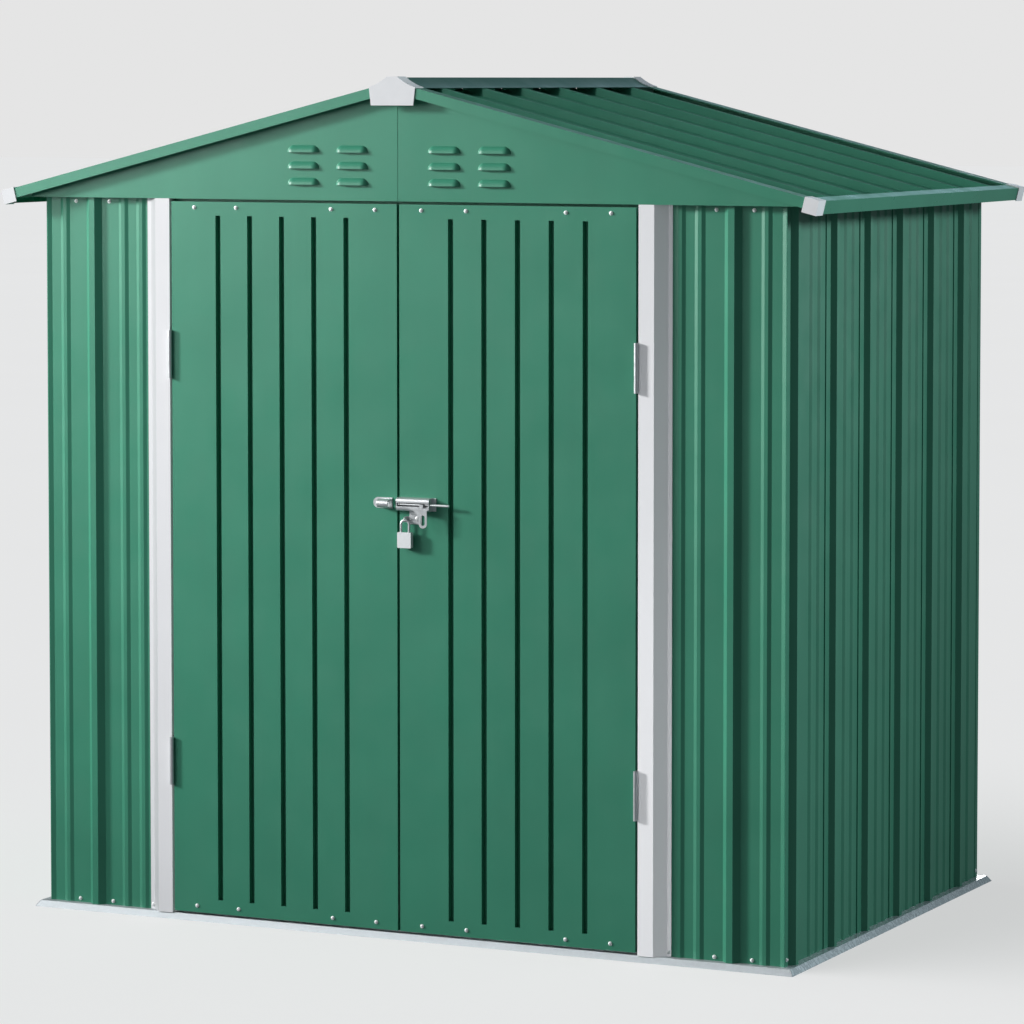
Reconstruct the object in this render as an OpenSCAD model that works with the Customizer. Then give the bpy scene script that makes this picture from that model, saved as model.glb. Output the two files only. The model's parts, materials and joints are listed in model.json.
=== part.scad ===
// Metal garden storage shed: ribbed sheet walls on base rails, a low gabled roof and two hinged doors.
// Millimetres, +Z up, doors towards -Y, origin on the ground at the middle of the plan.

/* [Walls] */
// Width over the side wall sheets
wall_w = 1754; // [1650:1:1900]
// Depth over the front and rear wall sheets
wall_d = 1154; // [1000:1:1400]
// Height of the top edge of the front and rear wall sheets
wall_top = 1573; // [1450:1:1750]
// Thickness of the wall, roof, trim and door sheets
sheet_t = 1; // [0.8:0.1:1.2]
// How far the doors and gables stand proud of the front and rear wall sheets
front_out = 23; // [20:0.5:30]

/* [Wall ribs] */
// Distance from one tall rib to the next
rib_pitch = 192; // [170:1:215]
// Depth of a tall rib
rib_depth = 12.5; // [8:0.5:14]
// Width across the top of a tall rib
rib_top = 14; // [10:1:22]
// Depth of a shallow rib
swage_depth = 3; // [2:0.5:5]
// Width across the top of a shallow rib
swage_top = 8; // [5:1:14]
// Distance between the two shallow ribs of a pair
swage_gap = 44; // [36:1:60]
// Distance from a front corner to the tall rib beside it on a side wall
side_rib_first = 36; // [35:0.5:44]
// Distance from a front corner to the next tall rib on a side wall
side_rib_next = 250; // [230:1:270]
// Width of the lap in front of each tall rib of a side wall
rib_lap = 21; // [14:1:28]
// Height of the edge of that lap
rib_lap_rise = 2; // [1.5:0.1:2.5]
// Distance from a side wall to the tall rib on a front panel
wing_rib_in = 119; // [100:1:130]
// Width of the fold where a front or rear sheet laps round the corner
corner_lap = 12; // [9:0.5:13]
// Depth of the half rib at the corners of the front and rear sheets
corner_rise = 3.5; // [2:0.5:5]
// Run of the slope of that half rib
corner_run = 9.5; // [7:0.5:12]

/* [Base rails] */
// How far the base rails reach beyond the wall sheets
rail_out = 28; // [24:0.5:40]
// Height of the ledge that the wall sheets stand on
rail_ledge = 12; // [8:0.5:16]
// Run of the sloping outer skirt of a rail
rail_skirt = 9; // [5:0.5:11]
// Height of the upright that the wall sheets are screwed to
rail_upright = 42; // [35:1:60]
// Width of the flange that lies on the ground
rail_foot = 32; // [24:1:45]

/* [Doorway] */
// Distance from a side wall to the opening between the door jambs
wing_w = 321; // [300:1:380]
// Width of the front face of a jamb
jamb_face = 35; // [28:0.5:45]
// Run of the sloping side of a jamb
jamb_slope = 23; // [16:0.5:28]
// Width of the flange of a jamb that lies on the wall sheet
jamb_flange = 9; // [7:0.5:12]

/* [Doors] */
// Gap between a door and its jamb
hinge_gap = 5.5; // [5:0.1:7]
// Gap between the two closed doors
meeting_gap = 6; // [5.5:0.1:8]
// Gap over and under a door
door_clear = 6; // [5:0.5:9]
// Depth of the folded edges of a door
door_depth = 20; // [16:0.5:22]
// Number of pressed grooves in a door
groove_count = 5; // [3:1:6]
// Distance from the edge of a door to the middle of the nearest groove
groove_side = 118; // [60:1:140]
// Width of a groove
groove_w = 12.2; // [8:0.1:16]
// Depth of a groove
groove_depth = 15; // [8:0.5:15]
// Distance from the end of a groove to the end of the door
groove_end = 30; // [28:0.5:60]
// How far the grooves sit towards the hinges from the middle of the door
groove_shift = 3; // [0:0.5:8]

/* [Hinges] */
// Length of a hinge
hinge_len = 104; // [70:1:130]
// Height of the middle of the lower hinges
hinge_low = 348; // [250:1:450]
// Height of the middle of the upper hinges
hinge_high = 1236; // [1050:1:1320]
// Outer radius of a hinge knuckle
knuckle_r = 4.6; // [4:0.1:5.2]
// Radius of a hinge pin
pin_r = 2; // [1.5:0.1:2.5]
// Radial clearance round a hinge pin
pin_clear = 0.08; // [0.05:0.01:0.15]
// Thickness of the hinge leaves
leaf_t = 1.6; // [1.2:0.1:2]
// Width of the hinge leaves, behind the face of the door
leaf_w = 15; // [10:0.5:18]

/* [Roof] */
// Pitch of the roof in degrees
roof_pitch = 14; // [10:0.5:18]
// Height of the roof trim over the wall top, at the side walls
roof_seat = 33.5; // [30:0.5:45]
// How far the front and rear trims stand out from the gables
verge_over = 25; // [15:0.5:35]
// How far the eaves stand out from the side walls
eave_over = 86; // [75:1:110]
// Depth of the ribs of the roof sheets
roof_rib_depth = 16; // [12:0.5:20]
// Distance from one roof rib to the next
roof_rib_pitch = 196; // [170:1:215]
// Width across the top of a roof rib
roof_rib_top = 17; // [12:1:30]
// Width of the top flanges of the front and rear trims
verge_flange = 40; // [30:1:55]
// Distance from the face of a front or rear trim to the leg that stands on the roof sheet
verge_leg = 15; // [8:1:25]
// Width of the top flanges of the eave trims
eave_flange = 28; // [24:1:45]
// Depth of the face of the front and rear trims
verge_face = 22; // [20:0.5:32]
// Depth of the face of the eave trims
eave_face = 28; // [24:0.5:40]
// How far the gables reach beyond the side walls
gable_out = 26; // [10:1:40]

/* [Ridge and caps] */
// Half width of the ridge cap
ridge_half = 54; // [48:1:70]
// Half width of the flat on top of the ridge cap
ridge_flat = 11; // [8:1:16]
// Height of the flat of the ridge cap over the roof trim
ridge_lift = 11.5; // [8:0.5:18]
// Depth of the plates of the ridge end caps, below the roof trim
end_cap_drop = 50; // [44:1:60]
// Thickness of the plastic caps
cap_t = 2; // [1.5:0.1:3]
// Length of the plastic caps along the trims
cap_len = 38; // [30:1:50]

/* [Louvres] */
// Width of a louvre
louvre_w = 77; // [60:1:90]
// Radius of the pressed louvre shell
louvre_r = 17; // [15:0.5:19]
// How far a louvre stands out from the gable
louvre_out = 9; // [7:0.5:11]
// Distance from one row of louvres to the next
louvre_rise = 34.5; // [26:0.5:38]
// Distance from the bottom of a gable to the lowest row
louvre_base = 33; // [28:1:40]
// Distance from the middle of the gable to the near column
louvre_near = 109; // [90:1:130]
// Distance from one column of louvres to the next
louvre_step = 117; // [95:1:130]

/* [Latch] */
// Height of the bolt above ground
latch_z = 934; // [850:1:1020]
// Radius of the bolt rod
rod_r = 2.75; // [2.25:0.05:3]
// Length of the bolt rod
rod_len = 124; // [115:1:135]
// How far the rod's middle stands out from the door
rod_out = 16; // [14.5:0.5:16.5]
// How far the bolt slides to lock the doors
bolt_travel = 45; // [40:1:46]
// Radial clearance round the rod in its guides
rod_clear = 0.25; // [0.15:0.05:0.4]
// Thickness of the latch plates
latch_t = 1.6; // [1.2:0.1:2]
// Radius of the padlock's shackle bar
shackle_r = 2.5; // [2:0.1:2.6]
// Width of the padlock
padlock_w = 32; // [29:1:36]
// Height of the padlock's body
padlock_h = 33; // [28:1:36]

/* [Hidden] */
$fn = 48;

// Colours
green = "#3f8069";
dark_green = "#2f6656";
white = "#e6e6ea";
zinc = "#c3c7cc";

// Planes of the walls, doors and roof
half_w = wall_w / 2;
half_d = wall_d / 2;
doorway_w = wall_w - 2 * wing_w;
door_y = half_d + front_out;
verge_y = door_y + verge_over;
ledge_top = rail_ledge + sheet_t;
wall_h = wall_top - ledge_top;
ridge_z = wall_top + roof_seat + half_w * tan(roof_pitch);
pan_n = sheet_t + roof_rib_depth;
pan_drop = (pan_n + sheet_t) / cos(roof_pitch);
eave_s = (half_w + eave_over) / cos(roof_pitch);

// Tall ribs have sides at 45 degrees, shallow ribs and roof ribs their own slopes
rib_base = rib_top + 2 * rib_depth;
swage_slope = 8;
swage_base = swage_top + 2 * swage_slope;
roof_rib_run = 0.75;
roof_rib_base = roof_rib_top + 2 * roof_rib_run * roof_rib_depth;
rib_margin = 3;

// Door sizes
door_bottom = ledge_top + door_clear;
door_top = wall_top - door_clear;
door_h = door_top - door_bottom;
door_in = meeting_gap / 2;
door_edge = doorway_w / 2 - hinge_gap;
door_w = door_edge - door_in;
groove_pitch = (door_w - 2 * groove_side) / (groove_count - 1);
hinge_x = doorway_w / 2 - hinge_gap / 2;
knuckle_off = 0.6;
hinge_out = knuckle_r + knuckle_off;
stiffener_gap = 2;
stiffener_h = groove_end - 3 * sheet_t - stiffener_gap;
stiffener_depth = 12;

// Height of the roof trim's top and of the underside of the roof sheet, at a distance from the middle
function trim_z(x) = ridge_z - abs(x) * tan(roof_pitch);
function under_z(x) = trim_z(x) - pan_drop;

// Outline of a bent sheet: the line of its outer face, thickened to the left of its direction
function unit(v) = v / norm(v);
function left(v) = [-v.y, v.x];
function mitre(a, b) = (a + b) / (1 + a * b);
function normals(p) = [for (i = [0 : len(p) - 2]) left(unit(p[i + 1] - p[i]))];
function inner_line(p, t) =
    let (n = normals(p), last = len(p) - 1)
    [for (i = [0 : last]) p[i] + t * (i == 0 ? n[0] : i == last ? n[last - 1] : mitre(n[i - 1], n[i]))];
function reversed(p) = [for (i = [len(p) - 1 : -1 : 0]) p[i]];
function bent(p, t) = concat(p, reversed(inner_line(p, t)));
function flipped(p) = [for (q = p) [-q.x, q.y]];

// Line of one rib, and of all the ribs that fit between two edges of a wall sheet
function rib(at, top, base, depth) =
    [[at - base / 2, 0], [at - top / 2, -depth], [at + top / 2, -depth], [at + base / 2, 0]];
function lapped_rib(at) =
    let (foot = at - rib_base / 2, edge = foot - rib_lap, rise = rib_lap_rise)
    concat([[edge, 0], [edge, -rise], [foot + rise, -rise]], [for (i = [1 : 3])
        rib(at, rib_top, rib_base, rib_depth)[i]]);
function wall_ribs(from, to, first, lapped = false) = [
    for (k = [-2 : ceil((to - from) / rib_pitch) + 1])
        for (r = [[0, 1], [(rib_pitch - swage_gap) / 2, 0], [(rib_pitch + swage_gap) / 2, 0]])
            let (at = first + k * rib_pitch + r[0], half = (r[1] == 1 ? rib_base : swage_base) / 2)
            if (at - half > from + rib_margin && at + half < to - rib_margin)
                each r[1] == 0 ? rib(at, swage_top, swage_base, swage_depth)
                    : lapped ? lapped_rib(at) : rib(at, rib_top, rib_base, rib_depth)
];

// Extrusions along X and Y of outlines drawn as [across, up]
module along_x(from, to) {
    translate([from, 0, 0])
        rotate([90, 0, 90])
            linear_extrude(to - from)
                children();
}
module along_y(from, to) {
    translate([0, to, 0])
        rotate([90, 0, 0])
            linear_extrude(to - from)
                children();
}
module other_side() {
    mirror([1, 0, 0])
        children();
}
module other_end() {
    mirror([0, 1, 0])
        children();
}
// Frame of the right roof slope: X runs down the slope, Z is square to it, 0 is the top of the trims
module on_slope() {
    translate([0, 0, ridge_z])
        rotate([0, roof_pitch, 0])
            children();
}

// Base rails: a foot and an upright, with a ledge and a sloping skirt towards the outside.
// The outline is drawn with its outer edge at 0 and the inside of the shed at plus X.
rail_upright_x = rail_out + sheet_t;
rail_w = rail_upright_x + rail_foot;
mitre_gap = 0.8;
module rail_outline() {
    skirt_cut = sheet_t / sin(atan2(ledge_top, rail_skirt));
    skirt = [[0, 0], [rail_skirt, ledge_top], [rail_upright_x, ledge_top]];
    under = inner_line(skirt, -sheet_t);
    polygon(bent([[rail_w, 0], [rail_upright_x, 0], [rail_upright_x, rail_upright]], -sheet_t));
    polygon(concat(skirt, [under[2], under[1], [skirt_cut, 0]]));
}
// A rail along X, with its outer edge at Y = 0 and its ends mitred for the corners
module mitred_rail(length) {
    half = length / 2 - mitre_gap;
    color(zinc)
        intersection() {
            along_x(-half, half)
                rail_outline();
            linear_extrude(rail_upright)
                polygon([[-half, 0], [half, 0], [half - rail_w, rail_w], [rail_w - half, rail_w]]);
        }
}
module front_base_rail() {
    translate([0, -half_d - rail_out, 0])
        mitred_rail(wall_w + 2 * rail_out);
}
module rear_base_rail() other_end() front_base_rail();
module right_base_rail() {
    translate([half_w + rail_out, 0, 0])
        rotate([0, 0, 90])
            mitred_rail(wall_d + 2 * rail_out);
}
module left_base_rail() other_side() right_base_rail();

// Ribbed wall sheets. A front or rear sheet ends in a half rib that laps round the corner.
corner_x = half_w + sheet_t;
corner_top = 2;
corner_foot = corner_x - corner_top - corner_run;
corner_line = [[corner_foot, 0], [corner_x - corner_top, -corner_rise], [corner_x, -corner_rise],
    [corner_x, corner_lap]];
module front_panel_right() {
    slope_x = doorway_w / 2 + jamb_face;
    flange_x = slope_x + jamb_slope + jamb_flange;
    inner_x = slope_x + jamb_slope / 2;
    ribs = wall_ribs(flange_x, corner_foot, half_w - wing_rib_in);
    line = concat([[inner_x, 0]], ribs, corner_line);
    color(green)
        translate([0, -half_d, ledge_top])
            linear_extrude(wall_h)
                polygon(bent(line, sheet_t));
}
module front_panel_left() other_side() front_panel_right();
module side_wall_right() {
    end = half_d - sheet_t;
    lap_end = half_d - corner_lap;
    first = side_rib_first - half_d;
    ribs = concat(rib(first, rib_top, rib_base, rib_depth),
        wall_ribs(first + rib_base / 2, lap_end, side_rib_next - half_d, true));
    color(green)
        translate([half_w, 0, ledge_top])
            rotate([0, 0, 90])
                linear_extrude(under_z(half_w + rib_depth) - ledge_top)
                    polygon(bent(concat([[-end, 0]], ribs, [[end, 0]]), sheet_t));
}
module side_wall_left() other_side() side_wall_right();
module rear_wall_right() {
    ribs = wall_ribs(0, corner_foot, rib_pitch / 2);
    line = concat([[0, 0]], ribs, corner_line);
    color(green)
        other_end()
            translate([0, -half_d, ledge_top])
                linear_extrude(wall_h)
                    polygon(bent(line, sheet_t));
}
module rear_wall_left() other_side() rear_wall_right();

// White door jambs
module door_jamb_right() {
    in_x = doorway_w / 2;
    face_x = in_x + jamb_face;
    flange_x = face_x + jamb_slope;
    wall_y = -half_d - sheet_t;
    line = [[in_x, wall_y], [in_x, -door_y], [face_x, -door_y], [flange_x, wall_y],
        [flange_x + jamb_flange, wall_y]];
    color(white)
        translate([0, 0, ledge_top])
            linear_extrude(wall_h)
                polygon(bent(line, sheet_t));
}
module door_jamb_left() other_side() door_jamb_right();

// Top rails inside the walls
top_rail_drop = 40;
top_rail_rise = 12;
side_rail_flange = 25;
module front_top_rail() {
    web_y = -half_d + sheet_t;
    gable_y = -door_y + sheet_t;
    line = [[gable_y, wall_top + top_rail_rise], [gable_y, wall_top], [web_y, wall_top],
        [web_y, wall_top - top_rail_drop]];
    color(green)
        along_x(-half_w + sheet_t, half_w - sheet_t)
            polygon(bent(line, sheet_t));
}
module rear_top_rail() other_end() front_top_rail();
module side_top_rail_right() {
    web_x = half_w - sheet_t;
    low = wall_top - top_rail_drop;
    end = half_d - 2 * sheet_t;
    line = [[web_x - side_rail_flange, low], [web_x, low], [web_x, under_z(web_x)]];
    color(green)
        along_y(-end, end)
            polygon(bent(line, sheet_t));
}
module side_top_rail_left() other_side() side_top_rail_right();

// Gables in two halves, with rows of pressed louvres
gable_seat = 0.05;
gable_seam = 0.6;
louvre_rows = 3;
louvre_cols = 2;
louvre_sink = louvre_r - louvre_out;
louvre_end = sqrt(louvre_r * louvre_r - louvre_sink * louvre_sink);
module louvre_form(r) {
    run = louvre_w / 2 - louvre_end;
    rotate([0, 90, 0])
        cylinder(h = 2 * run, r = r, center = true);
    for (x = [-run, run])
        translate([x, 0, 0])
            sphere(r);
}
// Keeps the upper half of a louvre that stands in front of a plane
module louvre_half(r, back) {
    intersection() {
        translate([0, louvre_sink, 0])
            louvre_form(r);
        translate([-louvre_w, back - 2 * louvre_r, 0])
            cube([2 * louvre_w, 2 * louvre_r, 2 * louvre_r]);
    }
}
module louvre_places() {
    for (col = [0 : louvre_cols - 1])
        for (row = [0 : louvre_rows - 1])
            translate([louvre_near + col * louvre_step, -door_y, wall_top + louvre_base + row * louvre_rise])
                children();
}
module front_gable_right() {
    end_x = half_w + gable_out;
    outline = [[gable_seam, wall_top], [end_x, wall_top], [end_x, under_z(end_x) - gable_seat],
        [gable_seam, under_z(gable_seam) - gable_seat]];
    color(green)
        difference() {
            union() {
                along_y(-door_y, -door_y + sheet_t)
                    polygon(outline);
                louvre_places()
                    louvre_half(louvre_r, sheet_t / 2);
            }
            louvre_places()
                louvre_half(louvre_r - sheet_t, 2 * sheet_t);
        }
}
module front_gable_left() other_side() front_gable_right();
module rear_gable_right() other_end() front_gable_right();
module rear_gable_left() other_end() front_gable_left();

// Roof: ridge beam, ribbed sheets and trims
beam_half = 15;
beam_depth = 40;
sheet_top_x = 12;
sheet_inset = 3;
hem = 2.4 * sheet_t;
module ridge_beam() {
    top = under_z(beam_half);
    line = [[beam_half, top - beam_depth], [beam_half, top], [-beam_half, top], [-beam_half, top - beam_depth]];
    color(zinc)
        along_y(-door_y + sheet_t, door_y - sheet_t)
            polygon(bent(line, sheet_t));
}
module roof_sheet_right() {
    end = verge_y - sheet_inset;
    count = 2 * floor((end - verge_flange - roof_rib_base / 2) / roof_rib_pitch + 0.5);
    first = -(count - 1) / 2 * roof_rib_pitch;
    ribs = [for (k = [0 : count - 1])
        each rib(first + k * roof_rib_pitch, roof_rib_top, roof_rib_base, -roof_rib_depth)];
    line = concat([[-end, 0]], ribs, [[end, 0]]);
    color(dark_green)
        on_slope()
            translate([0, 0, -pan_n])
                along_x(sheet_top_x / cos(roof_pitch), eave_s - 2 * sheet_inset)
                    polygon(bent(line, -sheet_t));
}
module roof_sheet_left() other_side() roof_sheet_right();
module front_verge_right() {
    lip_y = -verge_y + verge_flange;
    leg_y = -verge_y + verge_leg;
    line = [[-verge_y, -verge_face], [-verge_y, 0], [lip_y, 0], [lip_y, -hem], [leg_y, -hem], [leg_y, -pan_n]];
    color(green)
        on_slope()
            along_x((ridge_half + 1) / cos(roof_pitch), eave_s - eave_flange)
                polygon(bent(line, -sheet_t));
}
module front_verge_left() other_side() front_verge_right();
module rear_verge_right() other_end() front_verge_right();
module rear_verge_left() other_end() front_verge_left();
module eave_trim_right() {
    line = [[eave_s, -eave_face], [eave_s, 0], [eave_s - eave_flange, 0]];
    color(green)
        on_slope()
            along_y(-verge_y, verge_y)
                polygon(bent(line, sheet_t));
}
module eave_trim_left() other_side() eave_trim_right();

// Ridge cap: a flat along the top and sides that curve down to the roof
ridge_steps = 6;
ridge_seat = 0.1;
end_cap_taper = 4;
function ridge_point(u) =
    let (x = ridge_half + (ridge_flat - ridge_half) * u)
    [x, trim_z(x) + ridge_lift * u * u + ridge_seat];
ridge_side = [for (i = [0 : ridge_steps]) ridge_point(i / ridge_steps)];
ridge_line = concat(ridge_side, flipped(reversed(ridge_side)));
module ridge_cap() {
    color(dark_green)
        along_y(-verge_y, verge_y)
            polygon(bent(ridge_line, sheet_t));
}
module ridge_end_cap_front() {
    low = ridge_z - end_cap_drop;
    low_half = ridge_half - end_cap_taper;
    hood = inner_line(ridge_line, -cap_t);
    color(white) {
        along_y(-verge_y - cap_t, -verge_y)
            polygon(concat(hood, [[-low_half, low], [low_half, low]]));
        along_y(-verge_y, -verge_y + cap_len)
            polygon(bent(ridge_line, -cap_t));
    }
}
module ridge_end_cap_rear() other_end() ridge_end_cap_front();

// Plastic caps on the four corners of the eaves
module eave_corner_cap() {
    start = eave_s - eave_flange - cap_t;
    low = -eave_face - cap_t;
    run = eave_s + cap_t - start;
    color(white)
        on_slope() {
            translate([start, -verge_y - cap_t, low])
                cube([run, cap_t, cap_t - low]);
            translate([start, -verge_y - cap_t, 0])
                cube([run, cap_len, cap_t]);
            translate([eave_s, -verge_y - cap_t, low])
                cube([cap_t, cap_len, cap_t - low]);
        }
}
module front_corner_caps() {
    eave_corner_cap();
    other_side()
        eave_corner_cap();
}
module eave_corner_caps() {
    front_corner_caps();
    other_end()
        front_corner_caps();
}

// Doors: a folded tray with pressed grooves, and a channel along the top and bottom
module right_door() {
    groove_h = door_h - 2 * groove_end;
    first = (door_in + door_edge) / 2 + groove_shift - (groove_count - 1) / 2 * groove_pitch;
    color(green)
        translate([0, -door_y, door_bottom])
            difference() {
                union() {
                    difference() {
                        translate([door_in, 0, 0])
                            cube([door_w, door_depth, door_h]);
                        translate([door_in + sheet_t, sheet_t, sheet_t])
                            cube([door_w - 2 * sheet_t, door_depth, door_h - 2 * sheet_t]);
                    }
                    for (k = [0 : groove_count - 1])
                        translate([first + k * groove_pitch - groove_w / 2 - sheet_t, sheet_t / 2,
                            groove_end - sheet_t])
                            cube([groove_w + 2 * sheet_t, groove_depth + sheet_t / 2, groove_h + 2 * sheet_t]);
                }
                for (k = [0 : groove_count - 1])
                    translate([first + k * groove_pitch - groove_w / 2, -sheet_t, groove_end])
                        cube([groove_w, groove_depth + sheet_t, groove_h]);
            }
}
module left_door() other_side() right_door();
module door_channel(low) {
    front = -door_y + sheet_t;
    back = front + stiffener_depth;
    high = low + stiffener_h;
    color(zinc)
        along_x(door_in + sheet_t, door_edge - sheet_t)
            polygon(bent([[back, high], [front, high], [front, low], [back, low]], sheet_t));
}
module right_door_stiffeners() {
    door_channel(door_bottom + 2 * sheet_t);
    door_channel(door_top - 2 * sheet_t - stiffener_h);
}
module left_door_stiffeners() other_side() right_door_stiffeners();

// Hinges: the jamb leaf carries the pin and the outer knuckles, the door leaf the middle one
knuckle_gap = 0.4;
knuckle_len = hinge_len / 3;
knuckle_room = knuckle_r + 1;
module at_hinges() {
    for (z = [hinge_low, hinge_high])
        translate([hinge_x, -door_y - hinge_out, z - hinge_len / 2])
            children();
}
// A leaf lies in the gap beside a door, on the jamb (1) or on the edge of the door (-1)
module leaf(side, front, low, high) {
    translate([side > 0 ? hinge_gap / 2 - leaf_t : -hinge_gap / 2, front, low])
        cube([leaf_t, hinge_out + leaf_w - front, high - low]);
}
module right_hinge_jamb_leaves() {
    color(zinc)
        at_hinges() {
            for (low = [0, 2 * knuckle_len]) {
                translate([0, 0, low])
                    cylinder(h = knuckle_len, r = knuckle_r);
                leaf(1, 0, low, low + knuckle_len);
            }
            leaf(1, knuckle_room, 0, hinge_len);
            cylinder(h = hinge_len, r = pin_r);
        }
}
module left_hinge_jamb_leaves() other_side() right_hinge_jamb_leaves();
module right_hinge_door_leaves() {
    low = knuckle_len + knuckle_gap;
    high = 2 * knuckle_len - knuckle_gap;
    color(zinc)
        at_hinges()
            difference() {
                union() {
                    translate([0, 0, low])
                        cylinder(h = high - low, r = knuckle_r);
                    leaf(-1, 0, low, high);
                    leaf(-1, knuckle_room, 0, hinge_len);
                }
                cylinder(h = hinge_len, r = pin_r + pin_clear);
            }
}
module left_hinge_door_leaves() other_side() right_hinge_door_leaves();

// Latch: the keeper sits on the left door, the guide, bolt and padlock on the right door.
// Its pieces are drawn with the bolt's middle at [0, 0] and the face of the door at rod_out.
rod_left = 4;
bolt_grip = 27;
keeper_len = 45;
keeper_right = rod_left - bolt_travel + bolt_grip;
keeper_left = keeper_right - keeper_len;
keeper_half = 11.5;
strap_r = 9;
strap_len = 26;
guide_left = 5;
guide_right = 82.5;
guide_plate_right = 90;
guide_half = 14;
guide_front = 6;
guide_roll_r = 7;
slot_half = 3.8;
guide_lug_t = 2;
eye_x = 23.1;
eye_z = -32.7;
eye_r = 4.4;
eye_tab_r = 6.2;
eye_end = 3;
foot_left = 27;
foot_right = 56;
foot_low = -43;
flag_gap = 2.1;
flag_left = 36;
flag_right = 85.5;
flag_high = -6;
flag_edge = 3;
neck_left = 62;
neck_right = 71;
neck_half = 1.65;
lug_x = 70.5;
lug_half = 9.5;
lug_low = -39;
lug_slot_r = 4.8;
lug_slot_low = -38;
lug_slot_high = -25.6;
module at_latch() {
    translate([0, -door_y - rod_out, latch_z])
        children();
}
// A plate with its left end round
module round_plate(from, to, half) {
    translate([from + half, -half])
        square([to - from - half, 2 * half]);
    translate([from + half, 0])
        circle(half);
}
// Flat plates parallel to the door, from a depth in front of it
module upright_plate(back, t) {
    translate([0, back, 0])
        rotate([90, 0, 0])
            linear_extrude(t)
                children();
}
// Outline of the keeper's strap, which stands on the plate and rounds over the rod
module strap_outline(r) {
    circle(r);
    translate([0, -r])
        square([rod_out - latch_t / 2, 2 * r]);
}
module latch_keeper() {
    color(zinc)
        at_latch() {
            upright_plate(rod_out, latch_t)
                round_plate(keeper_left, keeper_right, keeper_half);
            along_x(keeper_right - strap_len, keeper_right)
                difference() {
                    strap_outline(strap_r);
                    strap_outline(strap_r - latch_t);
                }
        }
}
// The guide is a rolled channel with a slot along its front, closed by a lug with a hole at each end
guide_middle = [guide_roll_r - guide_front, guide_half - guide_roll_r];
function guide_roll(r) = [for (a = [90 : 15 : 180]) guide_middle + r * [cos(a), sin(a)]];
function upside_down(p) = [for (q = p) [q.x, -q.y]];
module guide_lip() {
    line = concat([[rod_out - latch_t, guide_half]], guide_roll(guide_roll_r), [[-guide_front, slot_half]]);
    polygon(bent(line, latch_t));
}
module latch_guide() {
    color(zinc)
        at_latch() {
            upright_plate(rod_out, latch_t) {
                translate([guide_left, -guide_half])
                    square([guide_plate_right - guide_left, 2 * guide_half]);
                translate([foot_left, foot_low])
                    square([foot_right - foot_left, -foot_low]);
                translate([eye_x - latch_t, eye_z - eye_tab_r])
                    square([foot_right - eye_x, 2 * eye_tab_r]);
            }
            along_x(guide_left, guide_right)
                guide_lip();
            mirror([0, 0, 1])
                along_x(guide_left, guide_right)
                    guide_lip();
            for (x = [guide_left, guide_right - guide_lug_t])
                guide_lug(x);
            eye_tab();
        }
}
module guide_lug(x) {
    half_t = latch_t / 2;
    upper = concat([[rod_out - half_t, guide_half - half_t]], guide_roll(guide_roll_r - half_t));
    along_x(x, x + guide_lug_t)
        difference() {
            polygon(concat(upper, reversed(upside_down(upper))));
            circle(rod_r + rod_clear);
        }
}
// The tab with the eye is folded out from the plate
eye_y = eye_tab_r - eye_end;
module eye_tab() {
    along_x(eye_x - latch_t, eye_x)
        translate([eye_y, eye_z])
            difference() {
                union() {
                    circle(eye_tab_r);
                    translate([0, -eye_tab_r])
                        square([rod_out - latch_t / 2 - eye_y, 2 * eye_tab_r]);
                }
                circle(eye_r);
            }
}
// The bolt: a rod with a flag that hangs in front of the guide and ends in a slotted lug
module flag_outline() {
    left_r = lug_x - lug_half - flag_left;
    right_r = flag_right - lug_x - lug_half;
    difference() {
        union() {
            translate([flag_left, flag_high - left_r])
                square([flag_right - flag_left, left_r]);
            translate([neck_left, flag_high - left_r])
                square([neck_right - neck_left, left_r - flag_high + neck_half]);
            translate([lug_x - lug_half, lug_low])
                square([2 * lug_half, flag_high - lug_low]);
            translate([lug_x, lug_low])
                circle(lug_half);
        }
        translate([flag_left, flag_high - flag_edge - left_r])
            circle(left_r);
        translate([flag_right, flag_high - flag_edge - right_r])
            circle(right_r);
        translate([flag_right - right_r, flag_high - flag_edge - left_r - right_r])
            square([2 * right_r, left_r]);
        for (z = [lug_slot_low, lug_slot_high])
            translate([lug_x, z])
                circle(lug_slot_r);
        translate([lug_x - lug_slot_r, lug_slot_low])
            square([2 * lug_slot_r, lug_slot_high - lug_slot_low]);
    }
}
module latch_bolt() {
    flag_back = -guide_front - flag_gap;
    color(zinc)
        at_latch() {
            translate([rod_left, 0, 0])
                rotate([0, 90, 0])
                    cylinder(h = rod_len, r = rod_r);
            translate([neck_left, flag_back - latch_t, -neck_half])
                cube([neck_right - neck_left, -flag_back + latch_t, 2 * neck_half]);
            upright_plate(flag_back, latch_t)
                flag_outline();
        }
}
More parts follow.
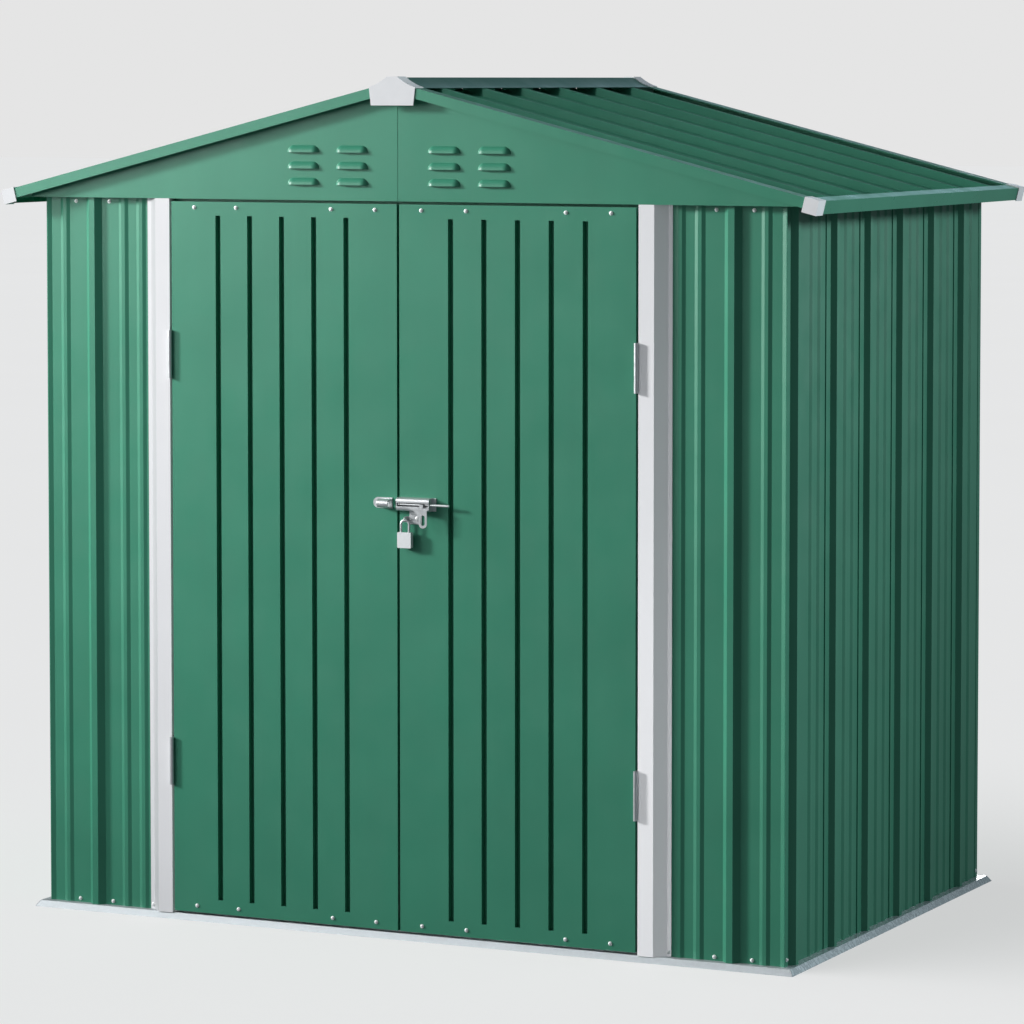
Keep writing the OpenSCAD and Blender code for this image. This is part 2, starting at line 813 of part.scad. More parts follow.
// Padlock hanging in the eye
shackle_half = 9.5;
shackle_leg = 16;
shackle_sink = 8;
shackle_slack = 0.3;
shackle_fit = 0.05;
padlock_t = 11;
padlock_corner = 1.5;
shackle_z = eye_z - (eye_r - shackle_r) + shackle_slack - shackle_half;
module at_padlock() {
    at_latch()
        translate([eye_x - latch_t / 2, eye_y, shackle_z])
            children();
}
module shackle_legs(r, low) {
    for (x = [-shackle_half, shackle_half])
        translate([x, 0, low])
            cylinder(h = -low, r = r);
}
module padlock_shackle() {
    color(zinc)
        at_padlock() {
            rotate([90, 0, 0])
                rotate_extrude(angle = 180)
                    translate([shackle_half, 0])
                        circle(shackle_r);
            shackle_legs(shackle_r, -shackle_leg - shackle_sink);
        }
}
module padlock_body() {
    w = padlock_w / 2 - padlock_corner;
    h = padlock_h / 2 - padlock_corner;
    color(white)
        at_padlock()
            difference() {
                translate([0, padlock_t / 2, -shackle_leg - padlock_h / 2])
                    upright_plate(0, padlock_t) {
                        square([2 * w, padlock_h], center = true);
                        square([padlock_w, 2 * h], center = true);
                        for (x = [-w, w], z = [-h, h])
                            translate([x, z])
                                circle(padlock_corner);
                    }
                shackle_legs(shackle_r + shackle_fit, -shackle_leg - shackle_sink - shackle_fit);
            }
}

front_base_rail();
rear_base_rail();
left_base_rail();
right_base_rail();
front_panel_left();
front_panel_right();
side_wall_left();
side_wall_right();
rear_wall_left();
rear_wall_right();
door_jamb_left();
door_jamb_right();
front_top_rail();
rear_top_rail();
side_top_rail_left();
side_top_rail_right();
front_gable_left();
front_gable_right();
rear_gable_left();
rear_gable_right();
ridge_beam();
roof_sheet_left();
roof_sheet_right();
front_verge_left();
front_verge_right();
rear_verge_left();
rear_verge_right();
eave_trim_left();
eave_trim_right();
ridge_cap();
ridge_end_cap_front();
ridge_end_cap_rear();
eave_corner_caps();
left_door();
left_door_stiffeners();
right_door();
right_door_stiffeners();
left_hinge_jamb_leaves();
left_hinge_door_leaves();
right_hinge_jamb_leaves();
right_hinge_door_leaves();
latch_keeper();
latch_guide();
latch_bolt();
padlock_body();
padlock_shackle();
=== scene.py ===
"""Looks of the metal storage shed: finishes, screws, gable joint strips, floor, lights and camera."""
import json
import math

import bpy
from mathutils import Matrix, Vector


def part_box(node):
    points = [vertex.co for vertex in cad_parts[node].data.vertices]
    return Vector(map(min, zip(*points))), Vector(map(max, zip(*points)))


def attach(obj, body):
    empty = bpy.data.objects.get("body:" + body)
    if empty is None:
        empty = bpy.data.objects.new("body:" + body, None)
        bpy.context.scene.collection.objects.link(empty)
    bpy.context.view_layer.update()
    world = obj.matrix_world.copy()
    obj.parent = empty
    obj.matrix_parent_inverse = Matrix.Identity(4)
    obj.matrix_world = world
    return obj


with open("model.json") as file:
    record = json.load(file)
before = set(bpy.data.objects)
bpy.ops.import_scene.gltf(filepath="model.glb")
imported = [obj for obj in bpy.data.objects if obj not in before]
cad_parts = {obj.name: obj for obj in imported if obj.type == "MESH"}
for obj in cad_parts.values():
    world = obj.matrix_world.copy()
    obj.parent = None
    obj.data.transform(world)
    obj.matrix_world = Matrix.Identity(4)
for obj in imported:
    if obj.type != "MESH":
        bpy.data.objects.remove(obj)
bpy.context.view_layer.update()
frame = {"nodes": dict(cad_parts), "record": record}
nodes = frame["nodes"]

MM = 0.001

# Finishes: the values that noise and crystals mostly lie between, and what the finishes share
NOISE_RANGE = (0.3, 0.7)
CRYSTAL_RANGE = (0.2, 0.8)
SMOOTHER, DULLER = 0.05, 0.06
PEEL_DEPTH = 0.04 * MM
SPANGLE = 160.0


class Finish:
    """A material under construction: adds nodes and links by short calls."""

    def __init__(self, name):
        self.material = bpy.data.materials.new(name)
        self.material.use_nodes = True
        self.tree = self.material.node_tree
        self.shader = self.tree.nodes["Principled BSDF"]
        self.place = self.add("ShaderNodeTexCoord").outputs["Object"]

    def add(self, kind, **settings):
        """A new node with its settings."""
        node = self.tree.nodes.new(kind)
        for key, value in settings.items():
            setattr(node, key, value)
        return node

    def link(self, source, target):
        """Joins an output to an input."""
        self.tree.links.new(source, target)

    def stretched(self, x, y, z):
        """Object coordinates scaled along each axis, which draws noise out into streaks."""
        node = self.add("ShaderNodeMapping")
        node.inputs["Scale"].default_value = (x, y, z)
        self.link(self.place, node.inputs["Vector"])
        return node.outputs["Vector"]

    def noise(self, scale, detail=3.0, rough=0.5, vector=None):
        """Soft noise, on the piece's own coordinates unless others are given."""
        node = self.add("ShaderNodeTexNoise")
        node.inputs["Scale"].default_value = scale
        node.inputs["Detail"].default_value = detail
        node.inputs["Roughness"].default_value = rough
        self.link(vector or self.place, node.inputs["Vector"])
        return node.outputs["Fac"]

    def crystals(self, scale):
        """Cells that each have a grey value of their own."""
        cells = self.add("ShaderNodeTexVoronoi")
        cells.inputs["Scale"].default_value = scale
        self.link(self.place, cells.inputs["Vector"])
        value = self.add("ShaderNodeRGBToBW")
        self.link(cells.outputs["Color"], value.inputs["Color"])
        return value.outputs["Val"]

    def ramp(self, source, dark, light, between=NOISE_RANGE):
        """A colour that runs from dark to light while the source runs between two values."""
        node = self.add("ShaderNodeValToRGB")
        for point, at, colour in zip(node.color_ramp.elements, between, (dark, light)):
            point.position = at
            point.color = (*colour, 1.0)
        self.link(source, node.inputs["Fac"])
        return node.outputs["Color"]

    def spread(self, source, low, high, between=NOISE_RANGE):
        """A value that runs from low to high while the source runs between two values."""
        node = self.add("ShaderNodeMapRange")
        node.inputs["From Min"].default_value, node.inputs["From Max"].default_value = between
        node.inputs["To Min"].default_value = low
        node.inputs["To Max"].default_value = high
        self.link(source, node.inputs["Value"])
        return node.outputs["Result"]

    def uneven(self, source, rough):
        """A roughness with smoother and duller spots."""
        return self.spread(source, rough - SMOOTHER, rough + DULLER)

    def stained(self, share, colour, stain):
        """A colour multiplied by a share of a stain."""
        node = self.add("ShaderNodeMix", data_type="RGBA", blend_type="MULTIPLY")
        node.inputs[0].default_value = share
        self.link(colour, node.inputs[6])
        self.link(stain, node.inputs[7])
        return node.outputs[2]

    def bump(self, height, distance, strength, below=None):
        """Normals bent by a height, on top of the normals below."""
        node = self.add("ShaderNodeBump")
        node.inputs["Strength"].default_value = strength
        node.inputs["Distance"].default_value = distance
        self.link(height, node.inputs["Height"])
        if below:
            self.link(below, node.inputs["Normal"])
        return node.outputs["Normal"]

    def done(self, colour, roughness, normal, **constants):
        """The finished material, with constants on the shader's own sockets."""
        self.link(colour, self.shader.inputs["Base Color"])
        self.link(roughness, self.shader.inputs["Roughness"])
        self.link(normal, self.shader.inputs["Normal"])
        for key, value in constants.items():
            self.shader.inputs[key.replace("_", " ")].default_value = value
        return self.material


def toned(colour, by):
    """A colour made lighter or darker."""
    return tuple(min(1.0, c * by) for c in colour)


def grey(value):
    return (value,) * 3


def enamel_sheet(name, colour, rough, shine, wave):
    """Baked enamel on thin rolled sheet: faint mottling, orange peel, and the slow waves of thin metal."""
    f = Finish(name)
    mottle = f.ramp(f.noise(scale=5.0, detail=4.0, rough=0.55), toned(colour, 0.95), toned(colour, 1.05))
    rolled = f.noise(scale=30.0, detail=2.0, vector=f.stretched(1.0, 1.0, 0.04))
    tint = f.stained(0.35, mottle, f.ramp(rolled, grey(0.93), grey(1.0)))
    waves = f.bump(f.noise(scale=2.6, detail=1.0, rough=0.4), distance=wave, strength=0.25)
    peel = f.bump(f.noise(scale=850.0, detail=2.0), distance=PEEL_DEPTH, strength=0.5, below=waves)
    return f.done(tint, f.uneven(f.noise(scale=14.0), rough), peel, Specular_IOR_Level=shine)


def white_enamel(name, colour, rough):
    """White enamel on a folded jamb: orange peel over slight waves."""
    f = Finish(name)
    tint = f.ramp(f.noise(scale=6.0), toned(colour, 0.97), colour)
    waves = f.bump(f.noise(scale=3.0, detail=1.0), distance=6.0 * MM, strength=0.2)
    peel = f.bump(f.noise(scale=700.0, detail=2.0), distance=PEEL_DEPTH, strength=0.5, below=waves)
    return f.done(tint, f.uneven(f.noise(scale=18.0), rough), peel, Specular_IOR_Level=0.45)


def moulded_plastic(name, colour):
    """White moulded plastic with a fine grain."""
    f = Finish(name)
    tint = f.ramp(f.noise(scale=40.0), toned(colour, 0.97), colour)
    grain = f.bump(f.noise(scale=1600.0, detail=2.0), distance=0.05 * MM, strength=0.6)
    return f.done(tint, f.spread(f.noise(scale=60.0), 0.36, 0.48), grain, Specular_IOR_Level=0.5)


def galvanised(name, colour, rough):
    """Zinc coated strip: crystals of slightly different grey, and faint rolling streaks."""
    f = Finish(name)
    crystal = f.crystals(SPANGLE)
    facets = f.ramp(crystal, toned(colour, 0.96), toned(colour, 1.02), CRYSTAL_RANGE)
    cloud = f.ramp(f.noise(scale=9.0, detail=4.0), grey(0.94), grey(1.0))
    streaks = f.noise(scale=260.0, detail=2.0, rough=0.6, vector=f.stretched(0.05, 0.05, 1.0))
    scratch = f.bump(streaks, distance=0.02 * MM, strength=0.3)
    dullness = f.spread(crystal, rough - 0.03, rough + 0.04, CRYSTAL_RANGE)
    return f.done(f.stained(0.8, facets, cloud), dullness, scratch, Metallic=0.35)


def plated(name, colour, rough, metal):
    """Bright zinc plating on pressed steel: fine rubbed lines and soft clouds."""
    f = Finish(name)
    tint = f.ramp(f.noise(scale=120.0, detail=4.0), toned(colour, 0.93), colour)
    rubbed = f.noise(scale=900.0, detail=2.0, rough=0.6, vector=f.stretched(0.08, 1.0, 1.0))
    lines = f.bump(rubbed, distance=0.01 * MM, strength=0.4)
    return f.done(tint, f.uneven(f.noise(scale=300.0), rough), lines, Metallic=metal)


def satin_case(name, colour):
    """Satin case of a padlock, brushed upwards."""
    f = Finish(name)
    tint = f.ramp(f.noise(scale=200.0), toned(colour, 0.94), colour)
    strokes = f.noise(scale=1500.0, detail=2.0, rough=0.6, vector=f.stretched(1.0, 1.0, 0.05))
    brushed = f.bump(strokes, distance=0.03 * MM, strength=0.6)
    return f.done(tint, f.spread(f.noise(scale=90.0), 0.3, 0.42), brushed, Metallic=0.1)


GREEN = (0.036, 0.2, 0.125)
# Painted light: the eave trims get the sheet green made lighter, for the light they catch
EAVE_GREEN_PAINTED_LIGHT = toned(GREEN, 1.12)
# Painted shade and painted sky reflection: the ridge cap gets a darker, bluer copy of the sheet green
RIDGE_GREEN_PAINTED_SHADE = (0.036, 0.165, 0.135)
JAMB_WHITE = (0.82, 0.82, 0.835)
PLASTIC_WHITE = (0.84, 0.845, 0.86)
ZINC = (0.42, 0.455, 0.475)
# Painted light and painted sky reflection: the right base rail gets a lighter, bluer copy of the zinc
SIDE_ZINC_PAINTED_LIGHT = (0.45, 0.52, 0.55)
PLATING = (0.66, 0.68, 0.69)
SCREW_PLATING = (0.95, 0.97, 0.96)
CASE_GREY = (0.70, 0.72, 0.73)

finishes = {
    "green_sheet": enamel_sheet("green_sheet", GREEN, rough=0.40, shine=0.30, wave=10.0 * MM),
    "roof_sheet": enamel_sheet("roof_sheet", GREEN, rough=0.52, shine=0.12, wave=10.0 * MM),
    "ridge_sheet_painted_shade": enamel_sheet("ridge_sheet_painted_shade", RIDGE_GREEN_PAINTED_SHADE, rough=0.36, shine=0.30, wave=1.0 * MM),
    "eave_sheet_painted_light": enamel_sheet("eave_sheet_painted_light", EAVE_GREEN_PAINTED_LIGHT, rough=0.30, shine=0.45, wave=1.0 * MM),
    "white_jamb": white_enamel("white_jamb", JAMB_WHITE, rough=0.40),
    "white_plastic": moulded_plastic("white_plastic", PLASTIC_WHITE),
    "zinc_rail": galvanised("zinc_rail", ZINC, rough=0.5),
    "side_rail_painted_light": galvanised("side_rail_painted_light", SIDE_ZINC_PAINTED_LIGHT, rough=0.26),
    "hardware": plated("hardware", PLATING, rough=0.33, metal=0.75),
    "screw": plated("screw", SCREW_PLATING, rough=0.28, metal=0.2),
    "padlock": satin_case("padlock", CASE_GREY),
}
# The ridge cap, eave trims and right base rail get their own copies, with painted shade, painted light and
# painted reflection in their colours
OWN_FINISH = {"ridge_cap": "ridge_sheet_painted_shade", "eave_trim_left": "eave_sheet_painted_light", "eave_trim_right": "eave_sheet_painted_light",
              "right_base_rail": "side_rail_painted_light"}
for part in frame["record"]["subparts"]:
    slots = nodes[part["node"]].data.materials
    slots.clear()
    slots.append(finishes[OWN_FINISH.get(part["node"], part["material_slot"])])

# Screws and nuts: an edge, dome or tip gives its height and the share of the width that is left at its top
SCREW_SIDES = 20
WASHER_RADIUS = 4.4 * MM
WASHER_THICK = 0.7 * MM
WASHER_EDGE = (0.2 * MM, 0.94)
WASHER_RIM = 0.7 * MM
HEAD_SIDE = 0.7 * MM
HEAD_DOME = ((0.9 * MM, 0.9), (0.6 * MM, 0.78), (0.25 * MM, 0.62))
HEAD_SMOOTH = math.radians(32)
RECESS_MIDDLE = (0.0, 0.0, 3.3 * MM)
RECESS_SIZE = (3.8 * MM, 0.8 * MM, 2.0 * MM)
NUT_SIDES = 6
NUT_RADIUS = 4.0 * MM
NUT_THICK = 2.2 * MM
NUT_EDGE = (0.35 * MM, 0.9)
NUT_RIM = 1.5 * MM
THREAD_END = 1.3 * MM
THREAD_TIP = (0.4 * MM, 0.75)
# Each screw of a piece is turned on from the last, in radians, and seats are looked for from metres away
SCREW_TURN = 0.96
FAR_OUT = 2.0


def select_alone(piece):
    """Selects one piece and nothing else."""
    bpy.ops.object.select_all(action="DESELECT")
    piece.select_set(True)
    bpy.context.view_layer.objects.active = piece


def start_edit(piece):
    """Opens one piece for work on its faces."""
    select_alone(piece)
    bpy.ops.object.mode_set(mode="EDIT")
    bpy.ops.mesh.select_mode(type="FACE")


def end_edit():
    bpy.ops.object.mode_set(mode="OBJECT")


def start_disc(name, sides, radius):
    """A flat disc at Z = 0, open for work and selected all over."""
    bpy.ops.object.select_all(action="DESELECT")
    bpy.ops.mesh.primitive_circle_add(vertices=sides, radius=radius, fill_type="NGON")
    disc = bpy.context.object
    disc.name = name
    start_edit(disc)
    bpy.ops.mesh.select_all(action="SELECT")
    return disc


def rise(height, width=1.0):
    """Draws the selected face up by a height, then leaves it a share of its width."""
    bpy.ops.mesh.extrude_region_move(TRANSFORM_OT_translate={"value": (0.0, 0.0, height)})
    if width != 1.0:
        bpy.ops.transform.resize(value=(width, width, 1.0))


def end_outwards():
    """Turns all faces outwards and closes the piece."""
    bpy.ops.mesh.select_all(action="SELECT")
    bpy.ops.mesh.normals_make_consistent(inside=False)
    end_edit()


def make_cross():
    """Two crossed bars that cut the recess of a screw."""
    bpy.ops.object.select_all(action="DESELECT")
    bpy.ops.mesh.primitive_cube_add(size=1.0, location=RECESS_MIDDLE, scale=RECESS_SIZE)
    cross = bpy.context.object
    bpy.ops.object.transform_apply(location=True, rotation=True, scale=True)
    start_edit(cross)
    bpy.ops.mesh.select_all(action="SELECT")
    bpy.ops.mesh.duplicate()
    bpy.ops.transform.rotate(value=math.pi / 2, orient_axis="Z", center_override=(0.0, 0.0, 0.0))
    end_edit()
    return cross


def make_screw():
    """A domed screw on a thin washer, with a cross recess. Its seat is at Z = 0 and its head points up."""
    screw = start_disc("screw_pattern", SCREW_SIDES, WASHER_RADIUS)
    rise(WASHER_THICK)
    rise(*WASHER_EDGE)
    bpy.ops.mesh.inset(thickness=WASHER_RIM)
    rise(HEAD_SIDE)
    for height, width in HEAD_DOME:
        rise(height, width)
    end_outwards()
    cross = make_cross()
    cut = screw.modifiers.new("recess", "BOOLEAN")
    cut.operation = "DIFFERENCE"
    cut.solver = "EXACT"
    cut.use_self = True
    cut.object = cross
    select_alone(screw)
    bpy.ops.object.modifier_apply(modifier="recess")
    bpy.data.objects.remove(cross)
    bpy.ops.object.shade_smooth_by_angle(angle=HEAD_SMOOTH)
    return screw


def make_nut():
    """A hexagon nut with the end of its screw, for the back of a sheet. It points up from Z = 0."""
    nut = start_disc("nut_pattern", NUT_SIDES, NUT_RADIUS)
    rise(NUT_THICK)
    rise(*NUT_EDGE)
    bpy.ops.mesh.inset(thickness=NUT_RIM)
    rise(THREAD_END)
    rise(*THREAD_TIP)
    end_outwards()
    return nut


def seated(names, start, way):
    """The point where a line from start first meets one of the named nodes."""
    start = Vector(start)
    hits = [nodes[name].ray_cast(start, Vector(way)) for name in names]
    return min((place for hit, place, _, _ in hits if hit), key=lambda place: (place - start).length)


def spots_on(names, out, points):
    """Seats for points given as (across, up) in millimetres on nodes that face out."""
    spots = []
    for across, up in points:
        if out in (FRONT, REAR):
            start = (across * MM, out[1] * FAR_OUT, up * MM)
        else:
            start = (out[0] * FAR_OUT, across * MM, up * MM)
        spots.append((seated(names, start, -Vector(out)), out))
    return spots


def fasteners(name, body, pattern, spots):
    """Copies of a pattern on spots of (place, outward direction), joined into one piece that rides a body."""
    copies = []
    for number, (place, out) in enumerate(spots):
        copy = pattern.copy()
        copy.data = pattern.data.copy()
        bpy.context.scene.collection.objects.link(copy)
        aim = Vector(out).to_track_quat("Z", "Y").to_matrix().to_4x4()
        spin = Matrix.Rotation(number * SCREW_TURN, 4, "Z")
        copy.data.transform(Matrix.Translation(place) @ aim @ spin)
        copies.append(copy)
    piece = copies[0]
    select_alone(piece)
    for copy in copies:
        copy.select_set(True)
    bpy.ops.object.join()
    piece.name = piece.data.name = name
    piece.data.materials.clear()
    piece.data.materials.append(finishes["screw"])
    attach(piece, body)


# Places of the screws in millimetres, across and up
FRONT, REAR, LEFT, RIGHT = (0.0, -1.0, 0.0), (0.0, 1.0, 0.0), (-1.0, 0.0, 0.0), (1.0, 0.0, 0.0)
SIDES = (("left", -1, LEFT), ("right", 1, RIGHT))
DOOR_SCREWS_X = (55, 160, 391, 494)
DOOR_SCREWS_Z = (33.5, 1554.5)
PANEL_SCREWS_X = (720, 804)
PANEL_SCREWS_Z = (21, 1564)
JAMB_SCREWS = [(-617, 22), (617, 22)]
CORNER_SCREWS = [(-571, 27), (571, 27)]
REAR_SCREWS_X = (59, 251, 443, 635, 827)
REAR_SCREWS_Z = (24, 1562)
KEEPER_SCREW = (-48, 934)
GUIDE_SCREW = (46, 904)

screw = make_screw()
nut = make_nut()
for side, sign, _ in SIDES:
    points = [(sign * x, z) for z in DOOR_SCREWS_Z for x in DOOR_SCREWS_X]
    inside = [(seated([f"{side}_door_stiffeners"], (x * MM, 0.0, z * MM), FRONT), REAR) for x, z in points]
    fasteners(f"{side}_door_screws", f"{side}_leaf", screw, spots_on([f"{side}_door"], FRONT, points))
    fasteners(f"{side}_door_nuts", f"{side}_leaf", nut, inside)

panel_points = [(sign * x, z) for _, sign, _ in SIDES for x in PANEL_SCREWS_X for z in PANEL_SCREWS_Z]
front_names = ["front_panel_left", "front_panel_right", "door_jamb_left", "door_jamb_right"]
fasteners("front_wall_screws", "shell", screw, spots_on(front_names, FRONT, panel_points + JAMB_SCREWS))
for side, _, out in SIDES:
    side_names = [f"side_wall_{side}", f"front_panel_{side}", f"rear_wall_{side}"]
    fasteners(f"{side}_wall_screws", "shell", screw, spots_on(side_names, out, CORNER_SCREWS))
rear_points = [(sign * x, z) for _, sign, _ in SIDES for x in REAR_SCREWS_X for z in REAR_SCREWS_Z]
rear_names = ["rear_wall_left", "rear_wall_right"]
fasteners("rear_wall_screws", "shell", screw, spots_on(rear_names, REAR, rear_points))
fasteners("keeper_screws", "left_leaf", screw, spots_on(["latch_keeper"], FRONT, [KEEPER_SCREW]))
fasteners("guide_screws", "right_leaf", screw, spots_on(["latch_guide"], FRONT, [GUIDE_SCREW]))
for pattern in (screw, nut):
    bpy.data.objects.remove(pattern)

# Strips behind the seams of the gables, each with a bead whose top keeps a share of its size
STRIP_WIDTH = 22.0 * MM
STRIP_THICK = 1.0 * MM
STRIP_BEAD = 2.0 * MM
STRIP_FOOT_GAP = 1.0 * MM
STRIP_TOP_GAP = 3.0 * MM
BEAD_TOP = (0.6, 1.0, 0.98)
FACES_AWAY = 0.9


def joint_strip(name, rail, seat, inwards):
    """A beaded strip behind the seam of two gable halves, from the top rail up into the ridge beam."""
    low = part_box(rail)[1][2] + STRIP_FOOT_GAP
    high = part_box("ridge_beam")[1][2] - STRIP_TOP_GAP
    middle = (0.0, seat + inwards * STRIP_THICK / 2, (low + high) / 2)
    bpy.ops.object.select_all(action="DESELECT")
    bpy.ops.mesh.primitive_cube_add(size=1.0, location=middle, scale=(STRIP_WIDTH, STRIP_THICK, high - low))
    strip = bpy.context.object
    strip.name = strip.data.name = name
    bpy.ops.object.transform_apply(location=True, rotation=True, scale=True)
    for face in strip.data.polygons:
        face.select = face.normal.y * inwards > FACES_AWAY
    start_edit(strip)
    bpy.ops.mesh.inset(thickness=STRIP_WIDTH / 4)
    bpy.ops.mesh.extrude_region_move(TRANSFORM_OT_translate={"value": (0.0, inwards * STRIP_BEAD, 0.0)})
    bpy.ops.transform.resize(value=BEAD_TOP)
    end_edit()
    strip.data.materials.append(finishes["green_sheet"])
    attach(strip, "shell")


joint_strip("front_gable_joint", "front_top_rail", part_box("front_gable_left")[1][1], 1.0)
joint_strip("rear_gable_joint", "rear_top_rail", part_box("rear_gable_left")[0][1], -1.0)

# Floor: the patch inside the rails is under the largest patch in square metres, and other faces are over it
FLOOR_SIZE = 160.0
LARGEST_PATCH = 10.0
FLOOR_GLOW = 0.575
# Painted shade: the patch inside the walls glows far less than the rest of the floor
PAINTED_SHADE_GLOW = 0.12


def floor_paper(name, glow):
    """Pale paper that glows evenly, so it meets the background without a line and keeps a soft shadow."""
    f = Finish(name)
    tint = f.ramp(f.noise(scale=0.6, detail=2.0), grey(0.345), grey(0.355))
    grain = f.bump(f.noise(scale=40.0), distance=0.2 * MM, strength=0.1)
    return f.done(tint, f.spread(f.noise(scale=3.0), 0.85, 0.95), grain, Specular_IOR_Level=0.0,
                  Emission_Color=(1.0, 1.0, 1.0, 1.0), Emission_Strength=glow)


def make_floor():
    """A pale floor, with the patch inside the walls as a face of its own whose lower glow is painted shade.
    """
    inset = FLOOR_SIZE / 4
    half_x, half_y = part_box("right_base_rail")[0][0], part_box("rear_base_rail")[0][1]
    bpy.ops.object.select_all(action="DESELECT")
    bpy.ops.mesh.primitive_plane_add(size=FLOOR_SIZE)
    floor = bpy.context.object
    floor.name = "floor"
    start_edit(floor)
    bpy.ops.mesh.select_all(action="SELECT")
    bpy.ops.mesh.inset(thickness=inset)
    bpy.ops.transform.resize(value=(half_x / inset, half_y / inset, 1.0))
    end_edit()
    floor.data.materials.append(floor_paper("floor_paper", FLOOR_GLOW))
    floor.data.materials.append(floor_paper("painted_shade_paper", PAINTED_SHADE_GLOW))
    for face in floor.data.polygons:
        face.material_index = int(face.area < LARGEST_PATCH)
    floor.visible_diffuse = False
    floor.visible_glossy = False
    return floor


# Lights: places and sizes in metres, cones and angles in degrees, power in watts or, far away, in watts a
# square metre
PLAIN_LIGHT = (1.0, 1.0, 1.0)
SIDE_LIGHT = (0.86, 0.97, 1.0)
ROOF_LIGHT = (0.93, 0.96, 1.0)
CARD_BLUE = (0.5, 0.78, 1.0)
ROOM_LIGHT = (0.84, 0.93, 1.0)
ROOM_STRENGTH = 0.19
BACKGROUND = 0.783


def lit_group(name, state, things):
    """Names the only things that a lamp lights, or the ones that it leaves out."""
    group = bpy.data.collections.new(name)
    for thing in things:
        group.objects.link(thing)
    for entry in group.collection_objects:
        entry.light_linking.link_state = state
    return group


def place_lamp(name, lamp, place, target, group):
    """Aims a lamp and ties it to what its group says."""
    thing = bpy.data.objects.new(name, lamp)
    bpy.context.scene.collection.objects.link(thing)
    thing.location = place
    thing.rotation_euler = (Vector(target) - Vector(place)).to_track_quat("-Z", "Y").to_euler()
    thing.visible_camera = False
    thing.light_linking.receiver_collection = group


def soft_box(name, group, place, target, size, power, colour=PLAIN_LIGHT):
    """A flat lamp with soft shadows."""
    lamp = bpy.data.lights.new(name, "AREA")
    lamp.shape = "RECTANGLE"
    lamp.size, lamp.size_y = size
    lamp.energy = power
    lamp.color = colour
    place_lamp(name, lamp, place, target, group)


def flood(name, group, place, target, cone, radius, power, colour=PLAIN_LIGHT):
    """A round flood lamp whose light fades towards the edge of its cone."""
    lamp = bpy.data.lights.new(name, "SPOT")
    lamp.spot_size = math.radians(cone)
    lamp.spot_blend = 1.0
    lamp.shadow_soft_size = radius
    lamp.energy = power
    lamp.color = colour
    place_lamp(name, lamp, place, target, group)


def far_lamp(name, group, place, angle, power):
    """A far lamp that shines the same way everywhere, from a place towards the middle of the shed."""
    lamp = bpy.data.lights.new(name, "SUN")
    lamp.angle = math.radians(angle)
    lamp.energy = power
    place_lamp(name, lamp, place, (0.0, 0.0, 0.0), group)


def make_world():
    """Weak light from all round, with a plain pale background for the camera."""
    world = bpy.data.worlds.new("studio")
    bpy.context.scene.world = world
    world.use_nodes = True
    tree = world.node_tree
    light = tree.nodes["Background"]
    light.inputs["Color"].default_value = (*ROOM_LIGHT, 1.0)
    light.inputs["Strength"].default_value = ROOM_STRENGTH
    plain = tree.nodes.new("ShaderNodeBackground")
    plain.inputs["Color"].default_value = (*grey(BACKGROUND), 1.0)
    path = tree.nodes.new("ShaderNodeLightPath")
    mix = tree.nodes.new("ShaderNodeMixShader")
    tree.links.new(path.outputs["Is Camera Ray"], mix.inputs["Fac"])
    tree.links.new(light.outputs[0], mix.inputs[1])
    tree.links.new(plain.outputs[0], mix.inputs[2])
    tree.links.new(mix.outputs[0], tree.nodes["World Output"].inputs["Surface"])


def named(*names):
    return [nodes[name] for name in names]


floor = make_floor()
roof_tops = named("roof_sheet_left", "roof_sheet_right", "ridge_cap")
rear_verges = named("rear_verge_left", "rear_verge_right")
eaves = named("eave_trim_left", "eave_trim_right")
left_jamb = named("door_jamb_left")
jambs = left_jamb + named("door_jamb_right")
front_rail = named("front_base_rail")
caps = named("eave_corner_caps", "ridge_end_cap_front", "ridge_end_cap_rear")

floor_only = lit_group("floor_only", "INCLUDE", [floor])
roof_only = lit_group("roof_only", "INCLUDE", roof_tops + rear_verges + eaves)
left_jamb_only = lit_group("left_jamb_only", "INCLUDE", left_jamb)
entrance_only = lit_group("entrance_only", "INCLUDE", jambs + front_rail)
all_but_floor = lit_group("all_but_floor", "EXCLUDE", [floor])
all_but_left_jamb = lit_group("all_but_left_jamb", "EXCLUDE", [floor] + left_jamb)
all_but_roof = lit_group("all_but_roof", "EXCLUDE", [floor] + roof_tops + rear_verges)
all_but_roof_tops = lit_group("all_but_roof_tops", "EXCLUDE", [floor] + roof_tops + eaves)
all_but_white = lit_group("all_but_white", "EXCLUDE", [floor] + jambs + caps)

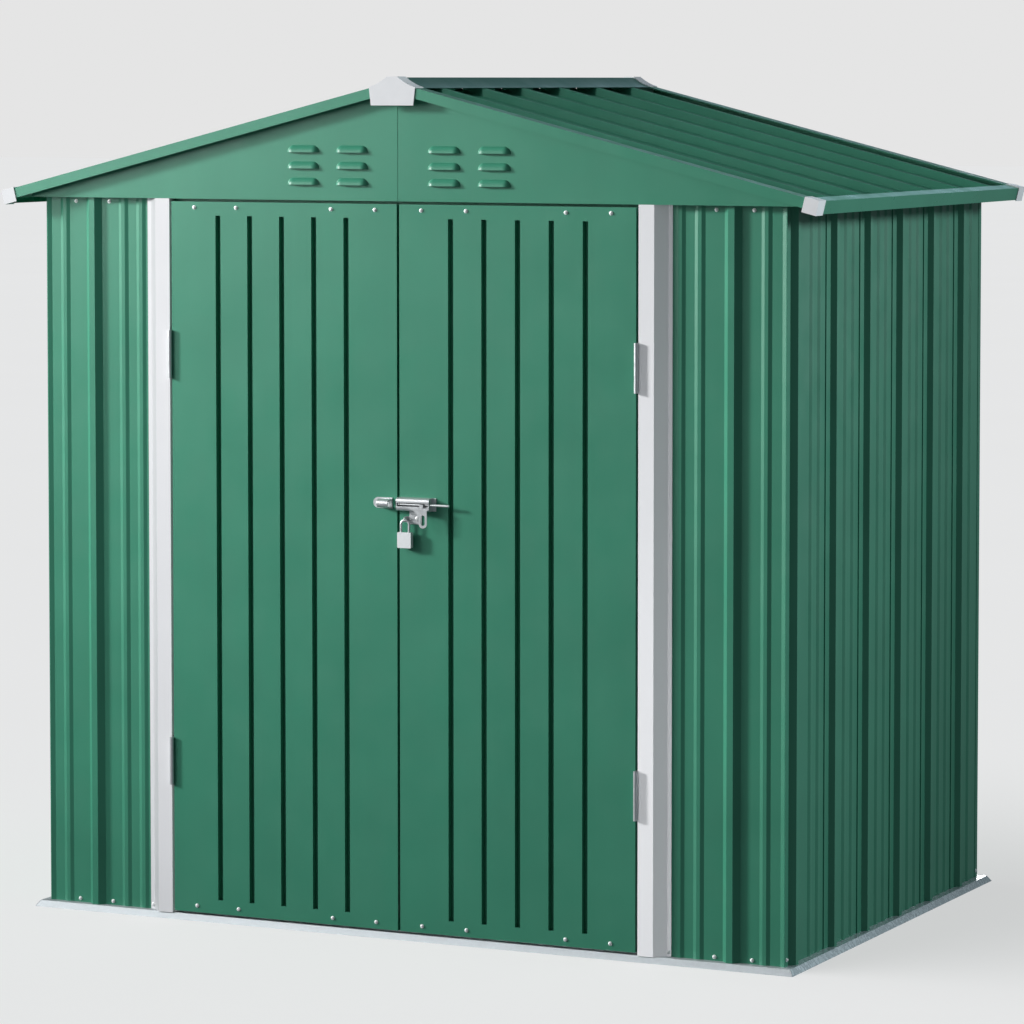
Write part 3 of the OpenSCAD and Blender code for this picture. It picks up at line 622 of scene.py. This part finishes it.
flood("key", all_but_left_jamb, place=(-9.7, -4.75, 4.2), target=(-0.6, -0.6, 1.9),
      cone=30.0, radius=0.8, power=7700.0)
flood("jamb_key", left_jamb_only, place=(-5.5, -9.5, 4.2), target=(-0.3, -0.6, 1.9),
      cone=30.0, radius=0.8, power=3700.0)
soft_box("sheen", all_but_white, place=(-2.2, -2.7, 2.2), target=(-0.7, -0.6, 1.5),
         size=(1.6, 1.6), power=54.0)
soft_box("front_fill", all_but_floor, place=(-2.0, -12.0, 3.0), target=(0.0, -0.6, 1.0),
         size=(5.0, 5.0), power=60.0)
flood("side_fill", all_but_roof, place=(7.9, 6.0, 4.1), target=(0.88, -2.2, 1.3),
      cone=34.0, radius=1.0, power=4240.0, colour=SIDE_LIGHT)
soft_box("roof_light", roof_only, place=(-1.0, -3.0, 7.0), target=(0.4, 0.0, 1.7),
         size=(2.0, 2.0), power=126.0, colour=ROOF_LIGHT)
soft_box("low_fill", entrance_only, place=(0.45, -2.4, 0.2), target=(0.6, -0.6, 0.1),
         size=(0.4, 0.4), power=10.0)
soft_box("rear_fill", all_but_roof_tops, place=(-2.0, 7.5, 1.0), target=(0.0, 0.6, 0.9),
         size=(4.0, 3.0), power=420.0)
soft_box("back_card", all_but_floor, place=(-1.8, 7.4, 3.4), target=(0.5, 0.0, 1.7),
         size=(3.2, 1.6), power=12.0, colour=CARD_BLUE)
far_lamp("floor_light", floor_only, place=(-0.5, -0.35, 0.8), angle=50.0, power=1.75)
make_world()

# Camera: place in metres, turn and downward tilt in degrees, lens and sensor in millimetres
CAMERA_PLACE = (4.2723, -8.9136, 1.8296)
CAMERA_TURN = 25.602
CAMERA_TILT = 3.603
CAMERA_LENS = 155.72
CAMERA_SENSOR = 36.0
CAMERA_SHIFT = (-0.0091, -0.15)
CAMERA_REACH = 200.0


def make_camera():
    """A long lens from the right of the doors, shifted so that the walls stay nearly upright."""
    camera = bpy.data.cameras.new("camera")
    camera.lens = CAMERA_LENS
    camera.sensor_width = CAMERA_SENSOR
    camera.shift_x, camera.shift_y = CAMERA_SHIFT
    camera.clip_end = CAMERA_REACH
    thing = bpy.data.objects.new("camera", camera)
    bpy.context.scene.collection.objects.link(thing)
    thing.location = CAMERA_PLACE
    thing.rotation_euler = (math.radians(90.0 - CAMERA_TILT), 0.0, math.radians(CAMERA_TURN))
    bpy.context.scene.camera = thing


make_camera()
bpy.context.scene.view_settings.view_transform = "Standard"
